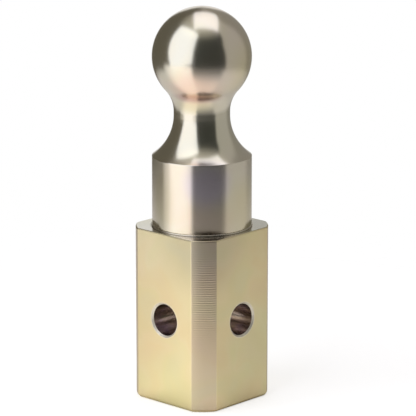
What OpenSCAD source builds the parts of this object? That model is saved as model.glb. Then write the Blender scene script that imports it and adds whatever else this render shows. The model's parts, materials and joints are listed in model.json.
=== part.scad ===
// Turn-over towing ball on a square, cross-drilled shank. Sizes are in millimetres.
// The shank stands on z = 0 with its flats facing X and Y. The ball is on top.
// The side that faces -X +Y is the back: the lock pin and the lift bar are driven in there.

/* [Ball and neck] */
// Diameter of the towing ball
ball_d = 58.74; // [50:0.01:70]
// Diameter of the neck at its narrowest
neck_d = 33.3; // [28:0.1:40]
// Height of the straight land in the neck
neck_land = 2.2; // [0.5:0.1:10]
// Radius of the hollow between the neck and the ball
neck_hollow_r = 19; // [8:0.5:30]
// Height of the flare between the collar and the neck
flare_h = 24; // [18:0.5:32]

/* [Collar] */
// Diameter of the round collar
collar_d = 59.1; // [54:0.1:62]
// Height of the collar from its foot to the flare
collar_h = 41.9; // [20:0.1:60]
// Rounding of the collar's upper edge
collar_edge_r = 0.5; // [0.2:0.1:1]

/* [Seat ring] */
// Thickness of the ring between the collar and the shank
ring_t = 1; // [0.6:0.1:3]
// How far the ring stands out past the collar
ring_lip = 0.4; // [0.2:0.1:1.2]

/* [Square shank] */
// Width across the shank's flats
shank_w = 65.1; // [64:0.1:80]
// Height of the shank
shank_h = 104.8; // [90:0.1:140]
// Leg of the wide chamfer on each upright corner
corner_leg = 10.7; // [8:0.1:12]
// Rounding of the upright edges beside those chamfers
upright_edge_r = 1; // [0.4:0.1:2]
// Bevel around the underside
under_bevel = 2.5; // [1:0.1:4]
// Edge break around the top face
top_break = 0.6; // [0.2:0.1:1.2]

/* [Latch pin bores] */
// Diameter of the two bores that cross at mid-height
bore_d = 19.05; // [16:0.05:22]
// Chamfer at each mouth of the bores
bore_chamfer = 1; // [0.4:0.1:2]

/* [Stud] */
// Outer diameter of the stud's thread
stud_d = 31.75; // [26:0.05:32]
// Steel left between the stud's hole and the latch pin bores
stud_web = 8; // [4:0.5:12]
// Space below the end of the stud
stud_end_gap = 1.5; // [0.5:0.1:4]
// Clearance around the stud's thread, on the radius
stud_gap = 0.05; // [0.02:0.01:0.2]
// Depth of the groove where the thread runs out under the collar
runout_depth = 1.8; // [1:0.1:2.5]
// Height of that groove
runout_h = 3.5; // [2:0.1:6]
// Chamfer at the end of the stud and at the mouth of its hole
stud_chamfer = 1.5; // [0.5:0.1:2]

/* [Lock pin] */
// Diameter of the slotted spring pin that locks the stud
lock_d = 8; // [5:0.5:10]
// Wall of the spring pin
lock_wall = 1.5; // [1:0.1:2]
// Width of the spring pin's slot
lock_slot = 1.2; // [0.6:0.1:2]
// How far the spring pin reaches into the steel beyond the stud
lock_grip = 5; // [3:0.5:8]

/* [Lift bar] */
// Diameter of the grip pocket in the underside
pocket_d = 48; // [40:0.5:52]
// Steel left between the pocket and the latch pin bores
pocket_web = 9; // [5:0.5:14]
// Radius in the corner of the pocket's roof
pocket_r = 3; // [1:0.5:5]
// Diameter of the lift bar
bar_d = 10; // [8:0.5:12]
// Height of the lift bar's axis above the underside
bar_z = 9; // [8:0.5:14]
// How far the lift bar reaches into the front wall
bar_grip = 8; // [5:0.5:10]
// Chamfer on the pins' ends and at the mouths of their holes
pin_chamfer = 0.8; // [0.4:0.1:1.2]
// How deep the driven ends of the lock pin and the lift bar sit below the back face
driven_depth = 1.5; // [1:0.1:3]
// Clearance around the two driven pins, on the radius
press_gap = 0.02; // [0.01:0.01:0.05]

/* [Hidden] */
$fn = 96;
// Cuts run this far past the faces that they open
over = 1;
// Direction of the back corner, measured from +X
back_turn = 135;
// Colours of the plated pieces
champagne = [0.80, 0.77, 0.68];
gold = [0.87, 0.80, 0.61];
dark_steel = [0.42, 0.38, 0.33];

// Radii
ball_r = ball_d / 2;
neck_r = neck_d / 2;
collar_r = collar_d / 2;
ring_r = collar_r + ring_lip;
bore_r = bore_d / 2;
stud_r = stud_d / 2;
lock_r = lock_d / 2;
pocket_mouth_r = pocket_d / 2;
bar_r = bar_d / 2;

// Distances from the axis to the shank's faces
flat_x = shank_w / 2;
corner_x = (shank_w - corner_leg) / sqrt(2);

// Heights
bore_z = shank_h / 2;
seat_z = shank_h + ring_t;
collar_top_z = seat_z + collar_h;
neck_z = collar_top_z + flare_h;
hollow_z = neck_z + neck_land;
ball_z = hollow_z + sqrt(pow(ball_r + neck_hollow_r, 2) - pow(neck_r + neck_hollow_r, 2));
stud_hole_z = bore_z + bore_r + stud_web;
stud_end_z = stud_hole_z + stud_end_gap;
lock_z = (stud_end_z + shank_h) / 2;
pocket_z = bore_z - bore_r - pocket_web;

// The flare leaves the neck upright and ends inside the collar's rounded edge
flare_foot_r = collar_r - collar_edge_r;
flare_out = flare_foot_r - neck_r;
flare_r = (pow(flare_out, 2) + pow(flare_h, 2)) / (2 * flare_out);

// Outline of the shank: its eight faces as [turn, distance from the axis]
FACES = [for (i = [0:7]) [45 * i, i % 2 == 0 ? flat_x : corner_x]];
function corner_point(a, b) =
    let (s = sin(b[0] - a[0]))
    [(a[1] * sin(b[0]) - b[1] * sin(a[0])) / s, (b[1] * cos(a[0]) - a[1] * cos(b[0])) / s];
function inset(face, depth) = [face[0], face[1] - depth];
function along(turn, reach) = [reach * cos(turn), reach * sin(turn)];

// A straight round bar or cutter that leaves the axis at the given turn and height
module spoke(turn, z, from, to, r) {
    rotate([0, 0, turn]) translate([from, 0, z]) rotate([0, 90, 0])
        cylinder(h = to - from, r = r);
}

// A cone on the same line, for chamfers
module spoke_cone(turn, z, from, to, r_from, r_to) {
    rotate([0, 0, turn]) translate([from, 0, z]) rotate([0, 90, 0])
        cylinder(h = to - from, r1 = r_from, r2 = r_to);
}

// A round bar with chamfered ends
module driven_pin(turn, z, from, to, r) {
    spoke(turn, z, from + pin_chamfer, to - pin_chamfer, r);
    spoke_cone(turn, z, from, from + pin_chamfer, r - pin_chamfer, r);
    spoke_cone(turn, z, to - pin_chamfer, to, r, r - pin_chamfer);
}

// A driven pin's hole: blind at one end, with a chamfered mouth in the back face
module driven_hole(z, blind_end, r) {
    spoke(back_turn, z, blind_end, corner_x + over, r + press_gap);
    spoke_cone(back_turn, z, corner_x - pin_chamfer, corner_x + over, r, r + pin_chamfer + over);
}

// Half outline of everything above the seat: collar, flare, neck and ball
module head_outline() {
    translate([0, seat_z]) square([collar_r, collar_h - collar_edge_r]);
    translate([flare_foot_r, collar_top_z - collar_edge_r]) circle(collar_edge_r);
    difference() {
        translate([0, seat_z]) square([flare_foot_r, neck_z - seat_z]);
        translate([neck_r + flare_r, neck_z]) circle(flare_r);
    }
    translate([0, seat_z]) square([neck_r, ball_z - seat_z]);
    difference() {
        polygon([[0, hollow_z], [neck_r + neck_hollow_r, hollow_z], [0, ball_z]]);
        translate([neck_r + neck_hollow_r, hollow_z]) circle(neck_hollow_r);
    }
    intersection() {
        translate([0, ball_z]) circle(ball_r);
        translate([0, ball_z - ball_r]) square([ball_r, ball_d]);
    }
}

// Half outline of the stud, which runs on up into the head
module stud_outline() {
    polygon([
        [0, stud_end_z],
        [stud_r - stud_chamfer, stud_end_z],
        [stud_r, stud_end_z + stud_chamfer],
        [stud_r, seat_z - runout_h],
        [stud_r - runout_depth, seat_z - runout_h + runout_depth],
        [stud_r - runout_depth, seat_z + runout_h],
        [0, seat_z + runout_h]
    ]);
}

module ball_stud() {
    color(champagne)
    difference() {
        rotate_extrude() {
            head_outline();
            stud_outline();
        }
        spoke(back_turn, lock_z, -stud_r - over, stud_r + over, lock_r + press_gap);
    }
}

module seat_ring() {
    color(gold)
    translate([0, 0, shank_h])
    difference() {
        cylinder(h = ring_t, r = ring_r);
        translate([0, 0, -over]) cylinder(h = ring_t + 2 * over, r = stud_r + stud_gap);
    }
}

// The shank's outline, with its eight upright edges rounded
module shank_outline() {
    core = [for (face = FACES) inset(face, upright_edge_r)];
    points = [for (i = [0:7]) corner_point(core[i], core[(i + 1) % 8])];
    polygon([for (i = [0:7]) for (turn = [FACES[i][0], FACES[i][0] + 45])
        points[i] + along(turn, upright_edge_r)]);
    for (point = points) translate(point) circle(upright_edge_r);
}

// Wedges that bevel all eight edges of the end at height z
module end_bevels(z, leg) {
    for (face = FACES) rotate([0, 0, face[0]]) translate([face[1], 0, z]) rotate([0, 45, 0])
        cube([leg * sqrt(2), shank_w, leg * sqrt(2)], center = true);
}

// The stud's blind hole, from the top
module stud_hole() {
    translate([0, 0, stud_hole_z]) cylinder(h = shank_h, r = stud_r + stud_gap);
    translate([0, 0, shank_h - stud_chamfer])
        cylinder(h = stud_chamfer + over, r1 = stud_r, r2 = stud_r + stud_chamfer + over);
}

// The grip pocket, from the underside
module grip_pocket() {
    rotate_extrude() {
        translate([0, -over]) square([pocket_mouth_r, pocket_z - pocket_r + over]);
        translate([0, -over]) square([pocket_mouth_r - pocket_r, pocket_z + over]);
        translate([pocket_mouth_r - pocket_r, pocket_z - pocket_r]) circle(pocket_r);
    }
    translate([0, 0, -over])
        cylinder(h = over + pin_chamfer, r1 = pocket_mouth_r + pin_chamfer + over, r2 = pocket_mouth_r);
}

module square_shank() {
    color(gold)
    difference() {
        linear_extrude(shank_h) shank_outline();
        end_bevels(0, under_bevel);
        end_bevels(shank_h, top_break);
        for (turn = [0, 90]) spoke(turn, bore_z, -shank_w, shank_w, bore_r);
        for (turn = [0, 90, 180, 270]) spoke_cone(turn, bore_z, flat_x - bore_chamfer,
            flat_x + over, bore_r, bore_r + bore_chamfer + over);
        stud_hole();
        driven_hole(lock_z, -stud_r - lock_grip - over, lock_r);
        grip_pocket();
        driven_hole(bar_z, -pocket_mouth_r - bar_grip - over, bar_r);
    }
}

module stud_lock_pin() {
    from = -stud_r - lock_grip;
    to = corner_x - driven_depth;
    color(dark_steel)
    difference() {
        driven_pin(back_turn, lock_z, from, to, lock_r);
        spoke(back_turn, lock_z, from - over, to + over, lock_r - lock_wall);
        rotate([0, 0, back_turn]) translate([from - over, -lock_slot / 2, lock_z])
            cube([to - from + 2 * over, lock_slot, lock_d]);
    }
}

module lift_bar() {
    color(dark_steel)
        driven_pin(back_turn, bar_z, -pocket_mouth_r - bar_grip, corner_x - driven_depth, bar_r);
}

ball_stud();
seat_ring();
square_shank();
stud_lock_pin();
lift_bar();
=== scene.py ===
"""Turn-over towing ball on a square cross-drilled shank: the finished pieces and their studio."""

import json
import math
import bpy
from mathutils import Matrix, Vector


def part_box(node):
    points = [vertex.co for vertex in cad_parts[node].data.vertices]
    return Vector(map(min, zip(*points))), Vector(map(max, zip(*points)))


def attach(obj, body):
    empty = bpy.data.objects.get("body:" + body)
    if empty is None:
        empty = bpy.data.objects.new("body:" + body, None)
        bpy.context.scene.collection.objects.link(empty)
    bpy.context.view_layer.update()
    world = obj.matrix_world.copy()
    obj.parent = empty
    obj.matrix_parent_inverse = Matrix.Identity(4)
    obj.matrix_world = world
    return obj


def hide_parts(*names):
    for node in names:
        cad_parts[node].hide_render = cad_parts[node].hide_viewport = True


bl_info = {
    "name": "Towing Ball Workshop",
    "version": (1, 0, 0),
    "blender": (4, 5, 0),
    "location": "View3D > Sidebar > Towing Ball",
    "description": "Builds the towing ball, its square shank and the studio that it stands in",
    "category": "Add Mesh",
}

from contextlib import contextmanager

import bmesh
import bpy
from mathutils import Matrix, Vector

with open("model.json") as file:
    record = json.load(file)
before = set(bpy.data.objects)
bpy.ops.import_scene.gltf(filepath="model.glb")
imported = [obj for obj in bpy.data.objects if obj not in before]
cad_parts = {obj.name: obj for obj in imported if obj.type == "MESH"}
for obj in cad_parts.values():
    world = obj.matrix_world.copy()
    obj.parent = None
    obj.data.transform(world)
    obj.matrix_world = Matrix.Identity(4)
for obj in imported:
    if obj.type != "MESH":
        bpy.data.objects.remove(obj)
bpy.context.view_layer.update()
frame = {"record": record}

# ---- sizes that the frame gives
MOUNTS = {mount["name"]: mount for mount in frame["record"]["mounts"]}
BORE_R = MOUNTS["latch_bore_x"]["dims"]["r_mm"] / 1000
BORE_Z = MOUNTS["latch_bore_x"]["pos_m"][2]
BALL_Z = MOUNTS["towing_ball"]["pos_m"][2]
BALL_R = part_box("ball_stud")[1].z - BALL_Z
STUD_END_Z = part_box("ball_stud")[0].z
SHANK_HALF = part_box("square_shank")[1].x
SHANK_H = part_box("square_shank")[1].z
RING_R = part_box("seat_ring")[1].x
SEAT_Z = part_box("seat_ring")[1].z
LOCK_Z = (STUD_END_Z + SHANK_H) / 2

# ---- directions
BORE_LINES = (Vector((1, 0, 0)), Vector((0, 1, 0)))
BACK_TURN = math.radians(135)
BACK = Vector((-math.sqrt(0.5), math.sqrt(0.5), 0))
# out through the block's front corner, and level to its right
AT_FRONT = Vector((0.6857, -0.7278, 0))
AT_RIGHT = Vector((0.7278, 0.6857, 0))

# ---- workshop habits
CUT_PAST = 0.002          # how far a cutter stands out of what it cuts
BLIND_SPARE = 0.001       # how much deeper a pin's hole is than the pin
FLARE_INSET = 0.0005      # how far the flare's foot stands in from the collar's wall
BROKEN_EDGE = 0.00012     # the least rounding on the ring and the bar
MILL_FEED = 0.0014        # what one pass of the cutter moves along a chamfer
MERGE = 1e-7              # what counts as one point in a turned shape
CUT_MERGE = 1e-6          # the same after a cut
ON_SPOT = 1e-5            # how near an edge lies to the height that is asked for
BESIDE = 1e-4             # the same for a curved wall, whose facets stand off the circle
RIM_SLACK = 4e-5          # the same for the rim of a bore
SMOOTH_ANGLE = math.radians(32)
FOLD_ANGLE = math.radians(15)

# how finely rounds are drawn
TURN_STEPS = 240
BALL_STEPS, FLARE_STEPS, HOLLOW_STEPS = 96, 44, 32
CORNER_STEPS, EDGE_STEPS, FOOT_STEPS, LEAST_STEPS = 8, 10, 5, 3
BORE_SIDES, STUD_HOLE_SIDES, BAR_SIDES, PIN_HOLE_SIDES, PIN_SIDES = 128, 96, 96, 64, 56


# ---- settings
def number(name, description, default, low, high, **more):
    """A setting with its default, and the least and the most that make sense."""
    return bpy.props.FloatProperty(name=name, description=description, default=default,
                                   min=low, max=high, **more)


def length(name, description, default, low, high, precision=5):
    return number(name, description, default, low, high, precision=precision, unit="LENGTH")


def coating(name, description, default):
    return bpy.props.FloatVectorProperty(name=name, description=description, default=default,
                                         subtype="COLOR", size=3, min=0, max=1)


class ShankSizes(bpy.types.PropertyGroup):
    corner_leg: length(
        "Corner chamfer", "Leg of the wide chamfer on each upright corner", 0.0107, 0.008, 0.012)
    corner_crown: length(
        "Chamfer crown", "How far the middle of each wide chamfer stands out",
        0.0009, 0.0001, 0.0012)
    upright_rounding: length(
        "Upright edges", "Radius on the eight upright edges", 0.0011, 0.0004, 0.003)
    under_bevel: length(
        "Underside bevel", "Leg of the bevel around the underside", 0.0018, 0.001, 0.004)
    under_rounding: length(
        "Underside edges", "Radius on the edges of the underside's bevel", 0.001, 0.0004, 0.002)
    top_rounding: length(
        "Top edges", "Radius on the edges around the top face", 0.0008, 0.0002, 0.002)
    bore_chamfer: length(
        "Bore chamfer", "Chamfer at the mouths of the latch pin bores", 0.001, 0.0004, 0.002)
    pocket_r: length(
        "Grip pocket", "Radius of the grip pocket in the underside", 0.024, 0.020, 0.026)
    pocket_z: length("Pocket roof", "Height of the grip pocket's roof", 0.033875, 0.02, 0.034)
    pocket_rounding: length(
        "Pocket corner", "Radius in the corner of the pocket's roof", 0.003, 0.001, 0.005)
    bar_r: length("Lift bar", "Radius of the lift bar", 0.005, 0.004, 0.006)
    bar_z: length("Lift bar height", "Height of the lift bar's axis", 0.009, 0.008, 0.014)
    bar_grip: length(
        "Lift bar grip", "How far the lift bar reaches into the front wall", 0.008, 0.005, 0.010)


class BallSizes(bpy.types.PropertyGroup):
    neck_r: length("Neck", "Radius of the neck at its narrowest", 0.01665, 0.014, 0.02)
    neck_land: length("Neck land", "Height of the straight land in the neck", 0.0022, 0.0005, 0.01)
    neck_hollow: length(
        "Neck hollow", "Radius of the hollow between the neck and the ball", 0.019, 0.008, 0.03)
    flare_h: length(
        "Flare height", "Height of the flare between the collar and the neck", 0.024, 0.018, 0.032)
    collar_r: length("Collar", "Radius of the round collar", 0.02955, 0.027, 0.031)
    collar_h: length(
        "Collar height", "Height of the collar from its foot to the flare", 0.0419, 0.02, 0.06)
    collar_rounding: length(
        "Collar edge", "Radius between the collar and the flare", 0.0006, 0.0002, 0.002)
    foot_rounding: length(
        "Collar foot", "Radius on the collar's lower edge", 0.0003, 0.0001, 0.001)
    ring_rounding: length(
        "Ring edge", "Radius on the seat ring's upper edge", 0.00045, 0.0001, 0.0006)
    stud_r: length("Stud", "Outer radius of the stud", 0.015875, 0.013, 0.016)
    stud_gap: length(
        "Stud clearance", "Clearance around the stud, on the radius", 0.00005, 0.00002, 0.0002)
    stud_hole_z: length(
        "Stud hole", "Height of the bottom of the stud's hole", 0.069925, 0.066, 0.075)
    runout_depth: length(
        "Run-out depth", "Depth of the groove where the thread runs out", 0.0018, 0.001, 0.0025)
    runout_h: length("Run-out height", "Height of that groove", 0.0035, 0.002, 0.006)
    stud_chamfer: length(
        "Stud chamfer", "Chamfer at the stud's end and at its hole's mouth", 0.0015, 0.0005, 0.002)
    lock_r: length("Lock pin", "Radius of the slotted spring pin", 0.004, 0.0025, 0.005)
    lock_wall: length("Lock pin wall", "Wall of the slotted spring pin", 0.0015, 0.001, 0.002)
    lock_slot: length("Lock pin slot", "Width of the spring pin's slot", 0.0012, 0.0006, 0.002)
    lock_grip: length(
        "Lock pin grip", "How far the spring pin reaches beyond the stud", 0.005, 0.003, 0.008)
    pin_chamfer: length(
        "Pin chamfer", "Chamfer on the pins' ends and at their holes' mouths",
        0.0008, 0.0004, 0.0012)
    driven_depth: length(
        "Driven depth", "How deep the pins' driven ends sit below the face", 0.0015, 0.001, 0.003)
    press_gap: length(
        "Press gap", "Clearance around the driven pins, on the radius",
        0.00002, 0.00001, 0.00005, precision=6)


class PlatingFinish(bpy.types.PropertyGroup):
    turned: coating(
        "Turned plating", "Colour of the plating on the turned ball and collar",
        (0.86, 0.80, 0.67))
    milled: coating(
        "Milled plating", "Colour of the plating on the milled shank", (0.895, 0.775, 0.465))
    chamfered: coating(
        "Chamfer plating", "Colour of the plating on the shank's chamfers", (0.79, 0.67, 0.47))
    # painted shade: the bores' colour is set darker than the flats'
    bore: coating("Bore wall", "Colour of the thick plating inside the bores", (0.68, 0.60, 0.49))
    spring: coating("Spring steel", "Colour of the oiled lock pin", (0.20, 0.19, 0.18))
    turned_roughness: number(
        "Turned roughness", "Roughness of the turned plating", 0.198, 0.02, 0.6)
    milled_roughness: number(
        "Milled roughness", "Roughness of the milled plating", 0.36, 0.05, 0.8)


class StudioSetup(bpy.types.PropertyGroup):
    azimuth: number(
        "Camera azimuth", "Turn of the camera round the ball",
        math.radians(43.31), -math.pi, math.pi, subtype="ANGLE")
    elevation: number(
        "Camera elevation", "Angle of the camera above the table",
        math.radians(14.607), 0, math.pi / 2, subtype="ANGLE")
    distance: length(
        "Camera distance", "Distance of the camera from the aim point", 1.65975, 0.5, 5)
    aim_z: length("Aim height", "Height of the aim point on the ball's axis", 0.10055, 0, 0.3)
    aim_right: length(
        "Aim right", "How far to the right of the axis the camera looks", 0.00361, -0.1, 0.1)
    aim_up: length("Aim up", "How far above the aim point the camera looks", 0.01386, -0.1, 0.1)
    lens: number("Lens", "Focal length in millimetres", 241.6, 20, 400)
    key: number("Key softbox", "Brightness of the softbox at the left front", 1.02, 0, 4)
    top: number("Top panel", "Brightness of the panel overhead", 0.76, 0, 4)
    table_glow: number("Table glow", "Light that the pale table adds of its own", 0.70, 0, 1)


# ---- bench tools
@contextmanager
def on_the_bench(piece, kind="VERT"):
    """Edit mode on one piece, with nothing else selected."""
    hold(piece)
    bpy.ops.object.mode_set(mode="EDIT")
    bpy.ops.mesh.select_mode(type=kind)
    yield
    bpy.ops.object.mode_set(mode="OBJECT")


def clear_bench():
    if bpy.context.object and bpy.context.object.mode != "OBJECT":
        bpy.ops.object.mode_set(mode="OBJECT")
    bpy.ops.object.select_all(action="DESELECT")


def hold(piece):
    clear_bench()
    piece.select_set(True)
    bpy.context.view_layer.objects.active = piece


def name_piece(name):
    piece = bpy.context.object
    piece.name = piece.data.name = name
    return piece


def settle(piece):
    """Puts the piece's place into its mesh, and its object at the origin."""
    hold(piece)
    bpy.ops.object.transform_apply(location=True, rotation=True, scale=True)


def pick_edges(test, weight=None):
    """In edit mode, selects just the edges that pass the test, and may weigh them for a bevel."""
    bpy.ops.mesh.select_all(action="DESELECT")
    piece = bpy.context.object
    shape = bmesh.from_edit_mesh(piece.data)
    if weight is not None:
        layers = shape.edges.layers.float
        layer = layers.get("bevel_weight_edge") or layers.new("bevel_weight_edge")
    edges = [edge for edge in shape.edges if test(edge)]
    for edge in edges:
        edge.select_set(True)
        if weight is not None:
            edge[layer] = weight
    shape.select_flush_mode()
    bmesh.update_edit_mesh(piece.data)
    if not edges:
        raise RuntimeError(f"{piece.name}: none of its edges is the one to work on")


def middle(edge):
    return (edge.verts[0].co + edge.verts[1].co) / 2


def run(edge):
    return (edge.verts[1].co - edge.verts[0].co).normalized()


def apply_modifier(piece, kind, **settings):
    hold(piece)
    step = piece.modifiers.new(kind.title(), kind)
    for key, value in settings.items():
        setattr(step, key, value)
    bpy.ops.object.modifier_apply(modifier=step.name)


def cut(piece, cutter):
    """Cuts the cutter's shape out of the piece, and throws the cutter away."""
    apply_modifier(piece, "BOOLEAN", operation="DIFFERENCE", object=cutter, solver="EXACT")
    mesh = cutter.data
    bpy.data.objects.remove(cutter)
    bpy.data.meshes.remove(mesh)


def tidy_mesh(piece, merge=MERGE):
    """Merges double points, drops slivers and turns all faces outwards."""
    with on_the_bench(piece):
        bpy.ops.mesh.select_all(action="SELECT")
        bpy.ops.mesh.remove_doubles(threshold=merge)
        bpy.ops.mesh.dissolve_degenerate(threshold=merge)
        bpy.ops.mesh.normals_make_consistent(inside=False)


def spin(steps, angle, center, axis):
    bpy.ops.mesh.spin(steps=steps, angle=angle, center=center, axis=axis, dupli=False,
                      use_auto_merge=False)


class Outline:
    """A half outline drawn in the XZ plane, one stroke after another, and then turned."""

    def __init__(self, name, x, z):
        clear_bench()
        bpy.ops.mesh.primitive_plane_add(size=0.001, location=(0, 0, 0))
        self.piece = name_piece(name)
        bpy.ops.object.mode_set(mode="EDIT")
        bpy.ops.mesh.select_mode(type="VERT")
        bpy.ops.mesh.select_all(action="SELECT")
        bpy.ops.mesh.merge(type="CENTER")
        bpy.ops.transform.translate(value=(x, 0, z))
        self.x, self.z = x, z

    def to(self, x, z):
        """A straight stroke."""
        bpy.ops.mesh.extrude_region_move(
            TRANSFORM_OT_translate={"value": (x - self.x, 0, z - self.z)})
        self.x, self.z = x, z
        return self

    def arc(self, cx, cz, x, z, steps):
        """A round stroke about (cx, cz) that ends at (x, z)."""
        a = math.atan2(self.z - cz, self.x - cx)
        b = math.atan2(z - cz, x - cx)
        turn = (b - a + math.pi) % (2 * math.pi) - math.pi
        spin(steps, turn, (cx, 0, cz), (0, 1, 0))
        shape = bmesh.from_edit_mesh(self.piece.data)
        end = [vert.co for vert in shape.verts if vert.select]
        if len(end) != 1 or (end[0] - Vector((x, 0, z))).length > 2 * ON_SPOT:
            raise RuntimeError(f"{self.piece.name}: an arc misses its end, {end} for {(x, z)}")
        self.x, self.z = x, z
        return self

    def filled(self, merge):
        """Joins the outline's two ends and fills it with one face."""
        bpy.ops.mesh.select_all(action="SELECT")
        bpy.ops.mesh.remove_doubles(threshold=merge)
        bpy.ops.mesh.edge_face_add()
        return self

    def turned(self, steps, angle=2 * math.pi):
        """Turns the outline about Z into a solid."""
        bpy.ops.mesh.select_all(action="SELECT")
        spin(steps, angle, (0, 0, 0), (0, 0, 1))
        bpy.ops.object.mode_set(mode="OBJECT")
        tidy_mesh(self.piece)
        if not self.piece.data.polygons:
            raise RuntimeError(f"{self.piece.name}: the outline made no faces")
        return self.piece


def rod(name, turn, z, start, end, radius, sides):
    """A round rod on a line that leaves the axis at that turn and height."""
    clear_bench()
    along = Vector((math.cos(turn), math.sin(turn), 0))
    centre = along * (start + end) / 2
    bpy.ops.mesh.primitive_cylinder_add(
        vertices=sides, radius=radius, depth=end - start,
        location=(centre.x, centre.y, z), rotation=(0, math.pi / 2, turn))
    piece = name_piece(name)
    settle(piece)
    return piece


def mouthed_cutter(z, start, face, radius, leg):
    """A round cutter towards the back corner that widens where it leaves the face."""
    outline = Outline("cutter", 0, start)
    outline.to(radius, start).to(radius, face - leg)
    outline.to(radius + leg + CUT_PAST, face + CUT_PAST).to(0, face + CUT_PAST)
    cutter = outline.turned(PIN_HOLE_SIDES)
    cutter.matrix_world = lay_towards_back(z)
    settle(cutter)
    return cutter


def lay_towards_back(z):
    """Turns an upright piece so that its top points at the block's back corner."""
    return (Matrix.Translation((0, 0, z)) @ Matrix.Rotation(BACK_TURN, 4, "Z")
            @ Matrix.Rotation(math.pi / 2, 4, "Y"))


def back_face(shank):
    """Distance of the back corner's chamfer from the axis, without its crown."""
    return (2 * SHANK_HALF - shank.corner_leg) / math.sqrt(2)


def off_line(point, direction, z):
    """Distance of a point from the level line through the axis at height z."""
    flat = Vector((point.x, point.y, point.z - z))
    return (flat - direction * flat.dot(direction)).length


# ---- finishes
WHITE = (1.0, 1.0, 1.0)


class Graph:
    """Short ways to put shader nodes together."""

    def __init__(self, owner):
        owner.use_nodes = True
        self.tree = owner.node_tree
        self.tree.nodes.clear()

    def put(self, kind, inputs=None, **settings):
        node = self.tree.nodes.new(kind)
        for key, value in settings.items():
            setattr(node, key, value)
        for key, value in (inputs or {}).items():
            self.feed(node.inputs[key], value)
        return node

    def feed(self, socket, value):
        if isinstance(value, bpy.types.NodeSocket):
            self.tree.links.new(value, socket)
        else:
            socket.default_value = value

    def end(self, kind, outputs):
        self.put(kind, {"Surface": outputs[0]})

    def work(self, kind, values, **settings):
        """A node whose first inputs take those values."""
        node = self.put(kind, **settings)
        for socket, value in zip(node.inputs, values):
            self.feed(socket, value)
        return node.outputs

    def math(self, operation, *values, clamp=False):
        return self.work("ShaderNodeMath", values, operation=operation, use_clamp=clamp)[0]

    def times(self, a, b):
        return self.math("MULTIPLY", a, b)

    def vector(self, operation, *values):
        outputs = self.work("ShaderNodeVectorMath", values, operation=operation)
        return outputs["Value" if operation in {"DOT_PRODUCT", "LENGTH"} else "Vector"]

    def along(self, place, direction):
        return self.vector("DOT_PRODUCT", place, tuple(direction))

    def band(self, value, low, high, to_low=0.0, to_high=1.0, kind="LINEAR"):
        return self.put("ShaderNodeMapRange", {
            "Value": value, "From Min": low, "From Max": high, "To Min": to_low,
            "To Max": to_high}, interpolation_type=kind).outputs[0]

    def step(self, value, low, high):
        """0 below low, 1 above high, smooth between."""
        return self.band(value, low, high, kind="SMOOTHSTEP")

    def noise(self, vector, scale, detail=2.0, roughness=0.5, distortion=0.0):
        return self.put("ShaderNodeTexNoise", {
            "Vector": vector, "Scale": scale, "Detail": detail, "Roughness": roughness,
            "Distortion": distortion}).outputs["Fac"]

    def mix(self, amount, a, b, blend="MIX"):
        """Mixes two colours."""
        node = self.put("ShaderNodeMix", data_type="RGBA", blend_type=blend)
        for socket, value in ((node.inputs["Factor"], amount), (node.inputs[6], a),
                              (node.inputs[7], b)):
            self.feed(socket, self.rgba(value))
        return node.outputs[2]

    def blend(self, amount, a, b):
        """Mixes two numbers."""
        node = self.put("ShaderNodeMix", {"Factor": amount}, data_type="FLOAT")
        self.feed(node.inputs[2], a)
        self.feed(node.inputs[3], b)
        return node.outputs[0]

    def ramp(self, value, stops):
        node = self.put("ShaderNodeValToRGB", {"Fac": value})
        line = node.color_ramp
        while len(line.elements) < len(stops):
            line.elements.new(0.5)
        for spot, (place, colour) in zip(line.elements, stops):
            spot.position = place
            spot.color = self.rgba(colour)
        return node.outputs["Color"]

    def coordinate(self, kind):
        return self.put("ShaderNodeTexCoord").outputs[kind]

    def split(self, vector):
        return tuple(self.put("ShaderNodeSeparateXYZ", {"Vector": vector}).outputs)

    def join(self, x=0.0, y=0.0, z=0.0):
        return self.put("ShaderNodeCombineXYZ", {"X": x, "Y": y, "Z": z}).outputs[0]

    def size(self, x=0.0, y=0.0, z=0.0):
        return self.vector("LENGTH", self.join(x, y, z))

    def bearing(self, place, right, front):
        """Turn of a place round Z from the front, which grows to the right."""
        return self.math("ARCTAN2", self.along(place, right), self.along(place, front))

    def sector(self, turn, start, end):
        return self.step(turn, math.radians(start), math.radians(end))

    @staticmethod
    def rgba(value):
        if isinstance(value, bpy.types.NodeSocket) or not hasattr(value, "__len__"):
            return value
        return (*value, 1.0) if len(value) == 3 else value


class Metal(Graph):
    """A metal material, with its constants on the shader's own sockets."""

    def __init__(self, name, **fixed):
        self.material = bpy.data.materials.new(name)
        super().__init__(self.material)
        self.shader = self.put("ShaderNodeBsdfPrincipled", {"Metallic": 1.0, **fixed})
        self.end("ShaderNodeOutputMaterial", self.shader.outputs)
        self.place = self.coordinate("Object")

    def rough(self, noise, low, high):
        """Roughness that follows the middle of a noise's range."""
        return self.band(noise, 0.3, 0.7, low, high)

    def coated(self, colour, rough, height=None, strength=0.0, depth=0.0):
        """Gives the shader its colour, roughness and bump."""
        self.feed(self.shader.inputs["Base Color"], colour)
        self.feed(self.shader.inputs["Roughness"], rough)
        if height is not None:
            self.feed(self.shader.inputs["Normal"], self.put("ShaderNodeBump", {
                "Height": height, "Strength": strength, "Distance": depth}).outputs["Normal"])
        return self.material


def shade(colour, factor):
    return [factor * channel for channel in colour]


def chromate(metal, base, strength, size):
    """Broad drifts of pink, green and straw over the plating's own colour."""
    drift = metal.noise(metal.place, 1 / size, detail=1.5, roughness=0.45, distortion=0.6)
    tint = metal.ramp(drift, (
        (0.30, (1.0, 0.95, 0.97)), (0.42, (1.0, 0.97, 0.93)), (0.50, WHITE),
        (0.58, (0.97, 1.0, 0.94)), (0.70, (0.94, 1.0, 1.0))))
    return metal.mix(strength, base, metal.mix(1.0, base, tint, "MULTIPLY"))


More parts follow.
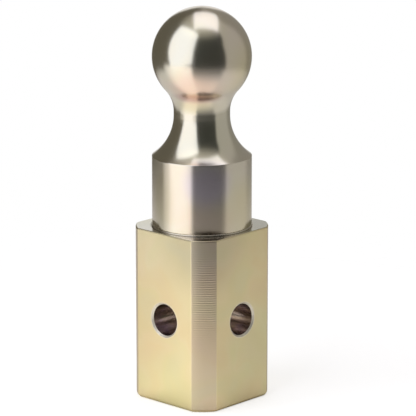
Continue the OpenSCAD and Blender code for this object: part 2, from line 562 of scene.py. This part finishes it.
def patches(metal, base, *spots):
    """Soft patches of another colour: the film's own tints, and painted shade where a caller says
    so.
    Each is centred so far to the right of the front corner, out to the front and up, and has a
    reach, a squat and a tint."""
    for across, out, z, reach, squat, tint in spots:
        centre = AT_RIGHT * across + AT_FRONT * out + Vector((0, 0, z))
        away = metal.vector("MULTIPLY", metal.vector("SUBTRACT", metal.place, tuple(centre)),
                            (1.0, 1.0, squat))
        base = metal.mix(metal.step(metal.vector("LENGTH", away), reach, 0.25 * reach), base,
                         metal.mix(1.0, base, tint, "MULTIPLY"))
    return base


def ring_plating(finish):
    """The seat ring's dull plating, a darker copy of the turned plating: painted shade under the
    collar.
    """
    metal = Metal("oiled_ring_plating")
    mottle = metal.noise(metal.place, 120, detail=1.0)
    # painted shade: the ring is coloured darker than the collar above it
    colour = metal.mix(metal.step(mottle, 0.35, 0.7), shade(finish.turned, 0.78),
                       shade(finish.turned, 0.92))
    return metal.coated(colour, metal.rough(mottle, 0.22, 0.34))


def turned_plating(finish):
    """Lathe-turned steel under pale yellow zinc: rings round the axis, and bright."""
    metal = Metal("turned_zinc_plating", Anisotropic=0.5)
    metal.feed(metal.shader.inputs["Tangent"], metal.join(z=1.0))
    x, y, z = metal.split(metal.place)
    facing_up = metal.math("ABSOLUTE", metal.split(metal.coordinate("Normal"))[2])
    rings = [metal.noise(metal.join(line), 2600, detail=3.0, roughness=0.7)
             for line in (z, metal.size(x, y))]
    rings = metal.blend(metal.step(facing_up, 0.6, 0.8), *rings)
    colour = patches(
        metal, chromate(metal, finish.turned, 0.6, 0.045),
        # pink, straw, brown and green below the ball's middle
        (-0.004, 0.024, BALL_Z - 0.0150, 0.022, 1.3, (1.0, 0.86, 0.84)),
        (0.027, 0.008, BALL_Z - 0.006, 0.026, 1.0, (0.95, 0.95, 0.80)),
        (-0.004, 0.0200, BALL_Z - 0.0213, 0.019, 4.5, (0.76, 0.64, 0.66)),
        (-0.004, 0.018, BALL_Z - 0.0270, 0.018, 3.0, (0.90, 0.89, 0.77)),
        # violet, pink, straw and green on the collar, and painted shade at the front of its foot
        (0.003, 0.0290, SEAT_Z + 0.030, 0.019, 1.0, (0.90, 0.88, 1.16)),
        (0.003, 0.029, SEAT_Z + 0.004, 0.022, 1.0, (1.0, 0.92, 0.90)),
        # painted shade: a brown patch darkens the front of the collar's foot
        (0.0054, 0.029, SEAT_Z, 0.011, 3.0, (0.50, 0.46, 0.42)),
        (0.026, 0.014, SEAT_Z + 0.012, 0.026, 1.0, (1.0, 0.96, 0.84)),
        (-0.0235, 0.0179, SEAT_Z + 0.018, 0.013, 0.45, (0.87, 0.88, 0.78)))
    rough = metal.rough(rings, finish.turned_roughness - 0.02, finish.turned_roughness + 0.03)
    return metal.coated(colour, rough, rings, 0.06, 0.0001)


def milled_plating(finish):
    """Milled steel under yellow zinc: satin flats, cutter marks on chamfers, a faced top, with
    painted shade on the top and a painted highlight round each bore.
    """
    metal = Metal("milled_zinc_plating")
    x, y, z = metal.split(metal.place)
    nx, ny, nz = metal.split(metal.coordinate("Normal"))
    on_chamfer = metal.step(metal.math("ABSOLUTE", metal.times(nx, ny)), 0.26, 0.40)
    on_top = metal.step(metal.math("ABSOLUTE", nz), 0.80, 0.95)
    radius = metal.size(x, y)

    # the film is browner on the chamfers and thin on the faced top
    base = metal.mix(on_chamfer, finish.milled, finish.chamfered)
    # painted shadow: a dark ring on the top face round the seat ring
    corner = metal.step(radius, RING_R + 0.0012, RING_R + 0.0002)
    # painted shade: the faced top darkens towards its right corner
    faced_top_and_painted_shade = patches(metal, shade(finish.turned, 1.07),
                   (0.040, 0.0, SHANK_H, 0.040, 1.0, (0.46, 0.47, 0.45)))
    base = metal.mix(on_top, base, metal.mix(corner, faced_top_and_painted_shade, (0.45, 0.40, 0.31)))
    # painted highlight: a narrow pale ring around each bore's mouth
    on_x = metal.step(metal.math("ABSOLUTE", nx), 0.90, 0.96)
    level = metal.math("SUBTRACT", z, BORE_Z)
    off_axis = metal.blend(on_x, metal.size(x=x, z=level), metal.size(y=y, z=level))
    painted_halo = metal.step(off_axis, BORE_R + 0.0020, BORE_R + 0.0010)
    base = metal.mix(metal.times(painted_halo, 0.5), base, (1.0, 0.93, 0.80))
    base = patches(
        metal, base,
        (0.034, 0.012, 0.035, 0.034, 1.0, (0.93, 1.0, 0.99)),
        (-0.030, 0.015, 0.050, 0.030, 1.0, (1.0, 0.96, 0.95)),
        (-0.020, 0.024, 0.010, 0.030, 1.0, (0.97, 1.0, 0.95)),
        (-0.034, 0.012, 0.096, 0.030, 1.0, (1.0, 1.02, 1.10)),
        (0.001, 0.0385, 0.104, 0.040, 1.0, (0.84, 0.85, 0.94)))

    cloud = metal.noise(metal.place, 55)
    rings = metal.noise(metal.join(radius), 2200, detail=3.0, roughness=0.7)
    rough = metal.band(cloud, 0.35, 0.65, finish.milled_roughness - 0.03,
                       finish.milled_roughness + 0.04)
    rough = metal.blend(on_chamfer, rough, 0.37)
    rough = metal.blend(on_top, rough, metal.rough(rings, 0.19, 0.25))

    # a fine grain on the flats, and on the chamfers the cutter's marks, which are clearest
    # about two thirds of the way up
    grain = metal.noise(metal.place, 900, detail=4.0, roughness=0.6)
    wander = metal.noise(metal.join(x, y, metal.times(z, 0.3)), 120, detail=1.0)
    feed = metal.math("ADD", metal.times(z, 2 * math.pi / MILL_FEED), metal.times(wander, 5.0))
    clearest = metal.times(metal.step(z, 0.030, 0.065), metal.step(z, 0.105, 0.080))
    marks = metal.times(metal.math("SINE", feed), metal.band(clearest, 0.0, 1.0, 0.2, 1.0))
    height = metal.blend(on_chamfer, metal.times(grain, 0.35), metal.times(marks, 0.55))
    height = metal.blend(on_top, height, 0.0)
    return metal.coated(chromate(metal, base, 0.7, 0.028), rough, height, 0.25, 0.0002)


def lip_plating(finish):
    """The countersink at a bore's mouth, paled and made less metallic as a painted highlight."""
    metal = Metal("bright_bore_lip", Metallic=0.6)
    cloud = metal.noise(metal.place, 400)
    # painted highlight: the countersink's colour is pushed about halfway to white
    pale = [0.48 * channel + 0.52 for channel in finish.milled]
    return metal.coated(metal.mix(cloud, pale, shade(pale, 0.93)), metal.rough(cloud, 0.42, 0.50))


def bore_plating(finish):
    """The drilled walls, with the drill's rings, coloured darker than the flats as painted shade.
    """
    metal = Metal("dark_bore_plating")
    x, y, _ = metal.split(metal.place)
    rings = metal.noise(metal.join(x, y), 1500, roughness=0.7)
    drift = metal.noise(metal.place, 90)
    red, green, blue = finish.bore
    colour = metal.mix(metal.step(drift, 0.4, 0.65), finish.bore,
                       (0.9 * red, 0.88 * green, 1.25 * blue))
    return metal.coated(colour, metal.rough(rings, 0.17, 0.24), rings, 0.2, 0.0002)


def spring_steel(finish):
    """Oiled black spring steel."""
    metal = Metal("oiled_spring_steel")
    mottle = metal.noise(metal.place, 500, detail=3.0)
    colour = metal.mix(metal.step(mottle, 0.35, 0.7), finish.spring, shade(finish.spring, 1.6))
    return metal.coated(colour, metal.rough(mottle, 0.3, 0.45))


def drawn_plating(finish):
    """Drawn round bar under yellow zinc, with its draw lines along the bar."""
    metal = Metal("drawn_zinc_plating")
    across = metal.along(metal.place, (math.sqrt(0.5), math.sqrt(0.5), 0.0))
    along = metal.times(metal.along(metal.place, BACK), 0.02)
    lines = metal.noise(metal.join(across, along, metal.split(metal.place)[2]), 2200,
                        roughness=0.7)
    return metal.coated(chromate(metal, finish.milled, 1.0, 0.02),
                        metal.rough(lines, 0.22, 0.34), lines, 0.15, 0.0001)


def finished(piece, *materials):
    """Gives the piece its materials and smooths it."""
    piece.data.materials.clear()
    for material in materials:
        piece.data.materials.append(material)
    hold(piece)
    bpy.ops.object.shade_smooth_by_angle(angle=SMOOTH_ANGLE)
    apply_modifier(piece, "WEIGHTED_NORMAL", mode="FACE_AREA", weight=100, keep_sharp=True)
    return piece


# ---- pieces
def ball_stud_piece(s):
    """The ball, neck, flare, collar and stud, turned from one outline."""
    neck_z = SEAT_Z + s.collar_h + s.flare_h
    hollow_z = neck_z + s.neck_land
    # the flare's circle, which leaves the neck upright
    out = s.collar_r - FLARE_INSET - s.neck_r
    flare = (out ** 2 + s.flare_h ** 2) / (2 * out)
    flare_cx = s.neck_r + flare
    # a rounding that touches both the collar's wall and the flare, which curves away from it
    rounding = s.collar_rounding
    edge_x = s.collar_r - rounding
    reach = math.sqrt((flare + rounding) ** 2 - (flare_cx - edge_x) ** 2)
    edge_z = neck_z - reach
    meet = Vector((edge_x - flare_cx, edge_z - neck_z)).normalized() * flare
    # where the hollow runs into the ball
    lean = Vector((s.neck_r + s.neck_hollow, hollow_z - BALL_Z)).normalized() * BALL_R
    groove = s.stud_r - s.runout_depth
    foot_x, foot_z = s.collar_r - s.foot_rounding, SEAT_Z + s.foot_rounding
    outline = Outline("ball_stud_fine", 0, STUD_END_Z)
    outline.to(s.stud_r - s.stud_chamfer, STUD_END_Z)
    outline.to(s.stud_r, STUD_END_Z + s.stud_chamfer)
    outline.to(s.stud_r, SEAT_Z - s.runout_h)
    outline.to(groove, SEAT_Z - s.runout_h + s.runout_depth)
    outline.to(groove, SEAT_Z)
    outline.to(foot_x, SEAT_Z)
    outline.arc(foot_x, foot_z, s.collar_r, foot_z, FOOT_STEPS)
    outline.to(s.collar_r, edge_z)
    outline.arc(edge_x, edge_z, flare_cx + meet.x, neck_z + meet.y, EDGE_STEPS)
    outline.arc(flare_cx, neck_z, s.neck_r, neck_z, FLARE_STEPS)
    outline.to(s.neck_r, hollow_z)
    outline.arc(s.neck_r + s.neck_hollow, hollow_z, lean.x, BALL_Z + lean.y, HOLLOW_STEPS)
    outline.arc(0, BALL_Z, 0, BALL_Z + BALL_R, BALL_STEPS)
    piece = outline.turned(TURN_STEPS)
    reach = s.stud_r + CUT_PAST
    cut(piece, rod("cutter", BACK_TURN, LOCK_Z, -reach, reach, s.lock_r + s.press_gap,
                   PIN_HOLE_SIDES))
    tidy_mesh(piece, CUT_MERGE)
    return piece


def seat_ring_piece(ball):
    """The thin ring under the collar's foot, with its edges broken."""
    bottom, top = SHANK_H, SEAT_Z
    inner = ball.stud_r + ball.stud_gap
    low, high = BROKEN_EDGE, ball.ring_rounding
    outline = Outline("seat_ring_fine", inner, bottom)
    outline.to(RING_R - low, bottom)
    outline.arc(RING_R - low, bottom + low, RING_R, bottom + low, LEAST_STEPS)
    outline.to(RING_R, top - high)
    outline.arc(RING_R - high, top - high, RING_R - high, top, CORNER_STEPS)
    outline.to(inner, top).to(inner, bottom)
    return outline.turned(TURN_STEPS)


def square_shank_piece(shank, ball):
    """The square block: chamfered corners, rounded edges, crossing bores, pocket, pin holes."""
    # the section, drawn lying down: four flats joined by slightly crowned chamfers
    half, inset = SHANK_HALF, SHANK_HALF - shank.corner_leg
    chord, crown = shank.corner_leg / math.sqrt(2), shank.corner_crown
    crown_r = (chord ** 2 + crown ** 2) / (2 * crown)
    centre = (half + inset) / 2 - (crown_r - crown) / math.sqrt(2)
    section = Outline("square_shank_fine", half, -inset)
    section.to(half, inset).arc(centre, centre, inset, half, CORNER_STEPS)
    section.to(-inset, half).arc(-centre, centre, -half, inset, CORNER_STEPS)
    section.to(-half, -inset).arc(-centre, -centre, -inset, -half, CORNER_STEPS)
    section.to(inset, -half).arc(centre, -centre, half, -inset, CORNER_STEPS)
    section.filled(CUT_MERGE)
    bpy.ops.mesh.extrude_region_move(TRANSFORM_OT_translate={"value": (0, -SHANK_H, 0)})
    bpy.ops.object.mode_set(mode="OBJECT")
    piece = section.piece
    piece.matrix_world = Matrix.Rotation(-math.pi / 2, 4, "X")
    settle(piece)
    tidy_mesh(piece)

    def upright(edge):
        return abs(run(edge).z) > 0.99

    def around(height):
        return lambda edge: abs(middle(edge).z - height) < ON_SPOT and abs(run(edge).z) < 0.01

    def folded(edge):
        return edge.calc_face_angle(0) > FOLD_ANGLE

    with on_the_bench(piece, "EDGE"):
        pick_edges(around(0))
        bpy.ops.mesh.bevel(offset=shank.under_bevel, segments=1, affect="EDGES")
    # one bevel rounds all edges at once, each by its own weight, so that the corners meet;
    # on an edge that folds by an eighth of a turn, it is this share of the radius wide
    eighth = math.tan(math.radians(22.5))
    with on_the_bench(piece, "EDGE"):
        for test, width in (
                (lambda edge: folded(edge) and middle(edge).z < SHANK_H / 4,
                 shank.under_rounding * eighth),
                (lambda edge: folded(edge) and upright(edge), shank.upright_rounding * eighth),
                (around(SHANK_H), shank.top_rounding)):
            pick_edges(test, weight=width / shank.top_rounding)
    apply_modifier(piece, "BEVEL", limit_method="WEIGHT", width=shank.top_rounding,
                   segments=5, profile=0.5)

    reach = SHANK_HALF + CUT_PAST
    for turn in (0, math.pi / 2):
        cut(piece, rod("cutter", turn, BORE_Z, -reach, reach, BORE_R, BORE_SIDES))

    # the stud's blind hole
    hole_r = ball.stud_r + ball.stud_gap
    mouth = Outline("cutter", 0, ball.stud_hole_z)
    mouth.to(hole_r, ball.stud_hole_z).to(hole_r, SHANK_H - ball.stud_chamfer)
    mouth.to(hole_r + ball.stud_chamfer + CUT_PAST, SHANK_H + CUT_PAST).to(0, SHANK_H + CUT_PAST)
    cut(piece, mouth.turned(STUD_HOLE_SIDES))

    # the grip pocket, with its lip broken and its roof's corner rounded
    pocket = Outline("cutter", 0, -CUT_PAST)
    wall, roof, lip = shank.pocket_r, shank.pocket_z, ball.pin_chamfer
    inner, eaves = wall - shank.pocket_rounding, roof - shank.pocket_rounding
    pocket.to(wall + lip + CUT_PAST, -CUT_PAST).to(wall, lip).to(wall, eaves)
    pocket.arc(inner, eaves, inner, roof, CORNER_STEPS).to(0, roof)
    cut(piece, pocket.turned(BORE_SIDES))

    # the two holes that the pins are driven into, from the back corner
    for z, depth, radius in ((LOCK_Z, ball.stud_r + ball.lock_grip, ball.lock_r),
                             (shank.bar_z, shank.pocket_r + shank.bar_grip, shank.bar_r)):
        cut(piece, mouthed_cutter(z, -depth - BLIND_SPARE, back_face(shank) + crown,
                                  radius + ball.press_gap, ball.pin_chamfer))

    # countersinks at the bores' mouths
    with on_the_bench(piece, "EDGE"):
        for line in BORE_LINES:
            def rim(edge):
                spot = middle(edge)
                return (abs(abs(spot.dot(line)) - SHANK_HALF) < BESIDE
                        and abs(off_line(spot, line, BORE_Z) - BORE_R) < RIM_SLACK)
            pick_edges(rim)
            bpy.ops.mesh.bevel(offset=shank.bore_chamfer, segments=1, affect="EDGES")
    tidy_mesh(piece, CUT_MERGE)
    return piece


def shank_faces(piece, shank):
    """Gives the bores' walls, their countersinks and the pocket a material slot each."""
    for face in piece.data.polygons:
        spot = face.center
        for line in BORE_LINES:
            away = off_line(spot, line, BORE_Z)
            facing = abs(face.normal.dot(line))
            depth = abs(spot.dot(line))
            if away < BORE_R + BESIDE and facing < 0.1 and depth < SHANK_HALF:
                face.material_index = 1
            elif (away < BORE_R + shank.bore_chamfer and 0.5 < facing < 0.9
                  and depth > SHANK_HALF - 1.1 * shank.bore_chamfer):
                face.material_index = 2
        if (Vector((spot.x, spot.y)).length < shank.pocket_r + BESIDE
                and ON_SPOT < spot.z < shank.pocket_z + BESIDE):
            face.material_index = 3


def lock_pin_piece(ball, shank):
    """The slotted spring pin: a rolled tube with a slot along it and tapered ends."""
    start, end = -ball.stud_r - ball.lock_grip, back_face(shank) - ball.driven_depth
    inner = ball.lock_r - ball.lock_wall
    taper = ball.pin_chamfer
    half_slot = math.asin(ball.lock_slot / 2 / (ball.lock_r - ball.lock_wall / 2))
    # drawn upright about Z, with its length along Z, and then laid down
    outline = Outline("stud_lock_pin_fine", inner, start)
    outline.to(ball.lock_r - taper, start).to(ball.lock_r, start + taper)
    outline.to(ball.lock_r, end - taper).to(ball.lock_r - taper, end)
    outline.to(inner, end).to(inner, start)
    piece = outline.filled(MERGE).turned(PIN_SIDES, angle=2 * math.pi - 2 * half_slot)
    # turned about its own axis so that the slot faces up, then laid towards the back corner
    piece.matrix_world = lay_towards_back(LOCK_Z) @ Matrix.Rotation(half_slot + math.pi, 4, "Z")
    settle(piece)
    tidy_mesh(piece)
    return piece


def lift_bar_piece(ball, shank):
    """The round bar across the grip pocket, its ends chamfered and softened."""
    start, end = -shank.pocket_r - shank.bar_grip, back_face(shank) - ball.driven_depth
    piece = rod("lift_bar_fine", BACK_TURN, shank.bar_z, start, end, shank.bar_r, BAR_SIDES)
    with on_the_bench(piece, "EDGE"):
        for width, segments in ((ball.pin_chamfer, 1), (BROKEN_EDGE, 2)):
            pick_edges(lambda edge: abs(run(edge).dot(BACK)) < 0.5)
            bpy.ops.mesh.bevel(offset=width, segments=segments, profile=0.5, affect="EDGES")
    tidy_mesh(piece)
    return piece


# ---- studio
# the table's own light for the camera, against the white floor's 1
TABLE_SEEN = 0.62
# what reflections see of the room, from dark in front to pale at the right and overhead
ROOM_FRONT = (0.042, 0.044, 0.041)
ROOM_LEFT = (0.117, 0.106, 0.086)
RIGHT_WALL = (0.38, 0.37, 0.35)
REAR_WALL = (0.25, 0.24, 0.22)
CEILING = (0.42, 0.40, 0.36)


def place_camera(scene, setup, right, front):
    """Looks at a point beside the ball's axis, from the set azimuth and elevation."""
    level = math.cos(setup.elevation)
    back = front * level + Vector((0, 0, math.sin(setup.elevation)))
    above = right.cross(-back).normalized()
    aim = Vector((0, 0, setup.aim_z))
    data = bpy.data.cameras.new("camera")
    camera = bpy.data.objects.new("camera", data)
    scene.collection.objects.link(camera)
    data.sensor_width = 36
    data.lens = setup.lens
    data.clip_start, data.clip_end = 0.05, 50
    camera.location = aim + back * setup.distance
    target = aim + right * setup.aim_right + above * setup.aim_up
    camera.rotation_euler = (target - camera.location).to_track_quat("-Z", "Y").to_euler()
    scene.camera = camera


def hang_panel(name, from_ball, across, along, width, height, brightness, colour):
    """A flat softbox whose front faces the ball and shines with that brightness."""
    data = bpy.data.lights.new(name, "AREA")
    data.shape = "RECTANGLE"
    data.size, data.size_y = width, height
    # an area light of one watt on one square metre shines with a brightness of one over pi
    data.energy = brightness * math.pi * width * height
    data.color = colour
    lamp = bpy.data.objects.new(name, data)
    bpy.context.scene.collection.objects.link(lamp)
    across = across.normalized()
    along = (along - across * along.dot(across)).normalized()
    facing = across.cross(along)
    if facing.dot(from_ball) < 0:
        across, facing = -across, -facing
    lamp.matrix_world = Matrix.Translation(Vector((0, 0, BALL_Z)) + from_ball) @ Matrix(
        (across, along, facing)).transposed().to_4x4()
    lamp.visible_camera = False


def light_world(scene, right, front):
    """White for the camera. Reflections see a dark room in front and pale walls."""
    world = scene.world = bpy.data.worlds.new("studio")
    graph = Graph(world)
    heading = graph.coordinate("Generated")
    turn = graph.bearing(heading, right, front)
    height = graph.split(heading)[2]
    rays = graph.put("ShaderNodeLightPath").outputs
    mirrored = graph.math("ADD", rays["Is Glossy Ray"], rays["Is Transmission Ray"], clamp=True)

    def rise(start, end):
        return graph.step(height, math.sin(math.radians(start)), math.sin(math.radians(end)))

    room = graph.mix(graph.sector(turn, -24, -34), ROOM_FRONT, ROOM_LEFT)
    # the pale wall at the right leans back as it rises
    leaning = graph.math("SUBTRACT", turn, graph.times(rise(25, 60), 0.26))
    room = graph.mix(graph.sector(leaning, 54, 60), room, RIGHT_WALL)
    room = graph.mix(graph.sector(turn, 112, 134), room, REAR_WALL)
    room = graph.mix(rise(44, 84), room, CEILING)
    # a low backdrop straight behind, which reflections see brighter than it lights
    backdrop = graph.mix(mirrored, (0.50, 0.50, 0.50), (0.80, 0.80, 0.80))
    behind = graph.math("ADD", graph.sector(turn, -164, -172), graph.sector(turn, 166, 174),
                        clamp=True)
    room = graph.mix(graph.times(behind, rise(27, 17)), room, backdrop)
    graph.end("ShaderNodeOutputWorld", graph.put("ShaderNodeBackground", {
        "Color": graph.mix(rays["Is Camera Ray"], room, WHITE), "Strength": 1.0}).outputs)


def lay_table(glow, right, front):
    """A pale table that carries the ball, and a white floor beyond it for the camera."""
    clear_bench()
    left, side, near, far = -0.9, 0.7, 0.9, -0.7
    bpy.ops.mesh.primitive_plane_add(size=1)
    table = name_piece("table")
    for corner, (x, f) in zip(table.data.vertices,
                              ((left, far), (side, far), (left, near), (side, near))):
        corner.co = right * x + front * f
    # those corners run clockwise, so the face is turned back up
    table.data.flip_normals()
    table.data.materials.append(pale_table(glow, right, front))
    bpy.ops.mesh.primitive_plane_add(size=12, location=(0, 0, -0.002))
    floor = name_piece("floor")
    floor.data.materials.append(white_floor())
    for ray in ("diffuse", "glossy", "transmission", "shadow", "volume_scatter"):
        setattr(floor, "visible_" + ray, False)


def pale_table(glow, right, front):
    """The table's surface: what lamps give it, and a glow that differs from side to side, which is
    painted light.
    """
    material = bpy.data.materials.new("pale_table")
    graph = Graph(material)
    place = graph.coordinate("Object")
    x, y, _ = graph.split(place)
    away = graph.size(x, y)
    turn = graph.bearing(place, right, front)
    seen = graph.put("ShaderNodeLightPath").outputs["Is Camera Ray"]

    # painted light: the glow stands in for the key softbox's light, stronger at the table's left
    # than at its front, right and back
    ahead, close, at_right, at_back, at_left, far_left = 0.14, 0.58, 0.28, 0.14, 0.92, 0.24
    share = graph.blend(graph.step(away, 0.30, 0.08), ahead, close)
    share = graph.blend(graph.sector(turn, 42, 58), share, at_right)
    share = graph.blend(graph.sector(turn, 110, 140), share, at_back)
    close_by = graph.times(graph.sector(turn, 12, -34), graph.step(away, 0.42, 0.16))
    beside = graph.math("ADD", graph.times(close_by, 0.35), graph.sector(turn, -18, -27),
                        clamp=True)
    share = graph.blend(beside, share, at_left)
    share = graph.blend(graph.sector(turn, -66, -104), share, far_left)
    # painted shadow: the glow dies away close to the block
    outside_painted_shadow = graph.step(away, 0.026, 0.062)
    diffuse = graph.put("ShaderNodeBsdfDiffuse", {"Color": (0.85, 0.85, 0.85, 1)})
    own = graph.put("ShaderNodeEmission", {
        "Color": graph.mix(seen, (1.0, 0.93, 0.86), WHITE),
        "Strength": graph.blend(seen, graph.times(graph.times(share, outside_painted_shadow), glow),
                                TABLE_SEEN)})
    lit = graph.work("ShaderNodeAddShader", (diffuse.outputs[0], own.outputs[0]))[0]

    # the table fades out: to the white floor for the camera, to the room for reflections
    fade = graph.blend(0.28, graph.step(away, 0.17, 0.48), graph.step(away, 0.60, 0.70))
    for start, end, near, far in ((42, 58, 0.38, 0.66), (-18, -27, 0.74, 0.88),
                                  (-90, -104, 0.38, 0.66)):
        fade = graph.blend(graph.sector(turn, start, end), fade, graph.step(away, near, far))
    fade = graph.blend(seen, fade, graph.step(away, 0.12, 0.42))
    clear = graph.put("ShaderNodeBsdfTransparent").outputs[0]
    graph.end("ShaderNodeOutputMaterial", graph.work("ShaderNodeMixShader", (fade, lit, clear)))
    return material


def white_floor():
    material = bpy.data.materials.new("white_floor")
    graph = Graph(material)
    shine = graph.put("ShaderNodeEmission", {"Color": (*WHITE, 1.0), "Strength": 1.0})
    graph.end("ShaderNodeOutputMaterial", shine.outputs)
    return material


# ---- operators
class TOWBALL_OT_studio(bpy.types.Operator):
    """Sets up the table, the backdrop, the lights and the camera"""
    bl_idname = "towball.studio"
    bl_label = "Studio"

    def execute(self, context):
        scene = context.scene
        setup = scene.towball_studio
        scene.view_settings.view_transform = "Standard"
        right = Vector((math.cos(setup.azimuth), math.sin(setup.azimuth), 0))
        front = Vector((math.sin(setup.azimuth), -math.cos(setup.azimuth), 0))
        place_camera(scene, setup, right, front)
        light_world(scene, right, front)
        lay_table(setup.table_glow, right, front)

        def at(x, f, u):
            return right * x + front * f + Vector((0, 0, u))

        hang_panel("key_softbox", at(-0.665, 0.528, 0.474), across=at(0.527, 0.833, 0.170),
                   along=at(0.2095, -0.321, 0.9236), width=1.183, height=1.68,
                   brightness=setup.key, colour=(1.0, 1.02, 1.13))
        hang_panel("top_panel", at(0.120, -0.375, 0.910), across=at(1.0, -0.017, 0.017),
                   along=at(-0.0205, -0.962, 0.272), width=0.66, height=1.20,
                   brightness=setup.top, colour=(1.0, 1.0, 1.15))
        return {"FINISHED"}


class TOWBALL_OT_ball_stud(bpy.types.Operator):
    """Turns the ball, neck, collar and stud from one outline"""
    bl_idname = "towball.ball_stud"
    bl_label = "Ball and stud"

    def execute(self, context):
        scene = context.scene
        piece = finished(ball_stud_piece(scene.towball_ball), turned_plating(scene.towball_finish))
        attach(piece, "root")
        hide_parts("ball_stud")
        return {"FINISHED"}


class TOWBALL_OT_seat_ring(bpy.types.Operator):
    """Turns the thin ring under the collar"""
    bl_idname = "towball.seat_ring"
    bl_label = "Seat ring"

    def execute(self, context):
        scene = context.scene
        piece = finished(seat_ring_piece(scene.towball_ball), ring_plating(scene.towball_finish))
        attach(piece, "root")
        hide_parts("seat_ring")
        return {"FINISHED"}


class TOWBALL_OT_square_shank(bpy.types.Operator):
    """Mills the square shank and cuts its bores, pocket and holes"""
    bl_idname = "towball.square_shank"
    bl_label = "Square shank"

    def execute(self, context):
        scene = context.scene
        finish = scene.towball_finish
        piece = finished(square_shank_piece(scene.towball_shank, scene.towball_ball),
                         milled_plating(finish), bore_plating(finish), lip_plating(finish),
                         drawn_plating(finish))
        shank_faces(piece, scene.towball_shank)
        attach(piece, "root")
        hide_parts("square_shank")
        return {"FINISHED"}


class TOWBALL_OT_lock_pin(bpy.types.Operator):
    """Rolls the slotted spring pin that locks the stud"""
    bl_idname = "towball.lock_pin"
    bl_label = "Stud lock pin"

    def execute(self, context):
        scene = context.scene
        piece = finished(lock_pin_piece(scene.towball_ball, scene.towball_shank),
                         spring_steel(scene.towball_finish))
        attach(piece, "root")
        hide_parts("stud_lock_pin")
        return {"FINISHED"}


class TOWBALL_OT_lift_bar(bpy.types.Operator):
    """Cuts the round bar that crosses the grip pocket"""
    bl_idname = "towball.lift_bar"
    bl_label = "Lift bar"

    def execute(self, context):
        scene = context.scene
        piece = finished(lift_bar_piece(scene.towball_ball, scene.towball_shank),
                         drawn_plating(scene.towball_finish))
        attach(piece, "root")
        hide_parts("lift_bar")
        return {"FINISHED"}


class TOWBALL_PT_workshop(bpy.types.Panel):
    """Lists the sizes, the finishes and the pieces of the towing ball"""
    bl_idname = "TOWBALL_PT_workshop"
    bl_label = "Towing Ball"
    bl_space_type = "VIEW_3D"
    bl_region_type = "UI"
    bl_category = "Towing Ball"

    def draw(self, context):
        layout = self.layout
        for name, group in GROUPS.items():
            box = layout.box()
            box.label(text=name.split("_")[1].title())
            for key in group.__annotations__:
                box.prop(getattr(context.scene, name), key)
        for operator in OPERATORS:
            layout.operator(operator.bl_idname)


GROUPS = {"towball_ball": BallSizes, "towball_shank": ShankSizes,
          "towball_finish": PlatingFinish, "towball_studio": StudioSetup}
OPERATORS = (TOWBALL_OT_studio, TOWBALL_OT_ball_stud, TOWBALL_OT_seat_ring,
             TOWBALL_OT_square_shank, TOWBALL_OT_lock_pin, TOWBALL_OT_lift_bar)


def register():
    for name, group in GROUPS.items():
        bpy.utils.register_class(group)
        setattr(bpy.types.Scene, name, bpy.props.PointerProperty(type=group))
    for operator in OPERATORS:
        bpy.utils.register_class(operator)
    bpy.utils.register_class(TOWBALL_PT_workshop)


def unregister():
    bpy.utils.unregister_class(TOWBALL_PT_workshop)
    for operator in reversed(OPERATORS):
        bpy.utils.unregister_class(operator)
    for name, group in GROUPS.items():
        delattr(bpy.types.Scene, name)
        bpy.utils.unregister_class(group)


def main():
    register()
    for operator in OPERATORS:
        section, name = operator.bl_idname.split(".")
        getattr(getattr(bpy.ops, section), name)()
    bpy.context.view_layer.update()


if __name__ == "__main__":
    main()
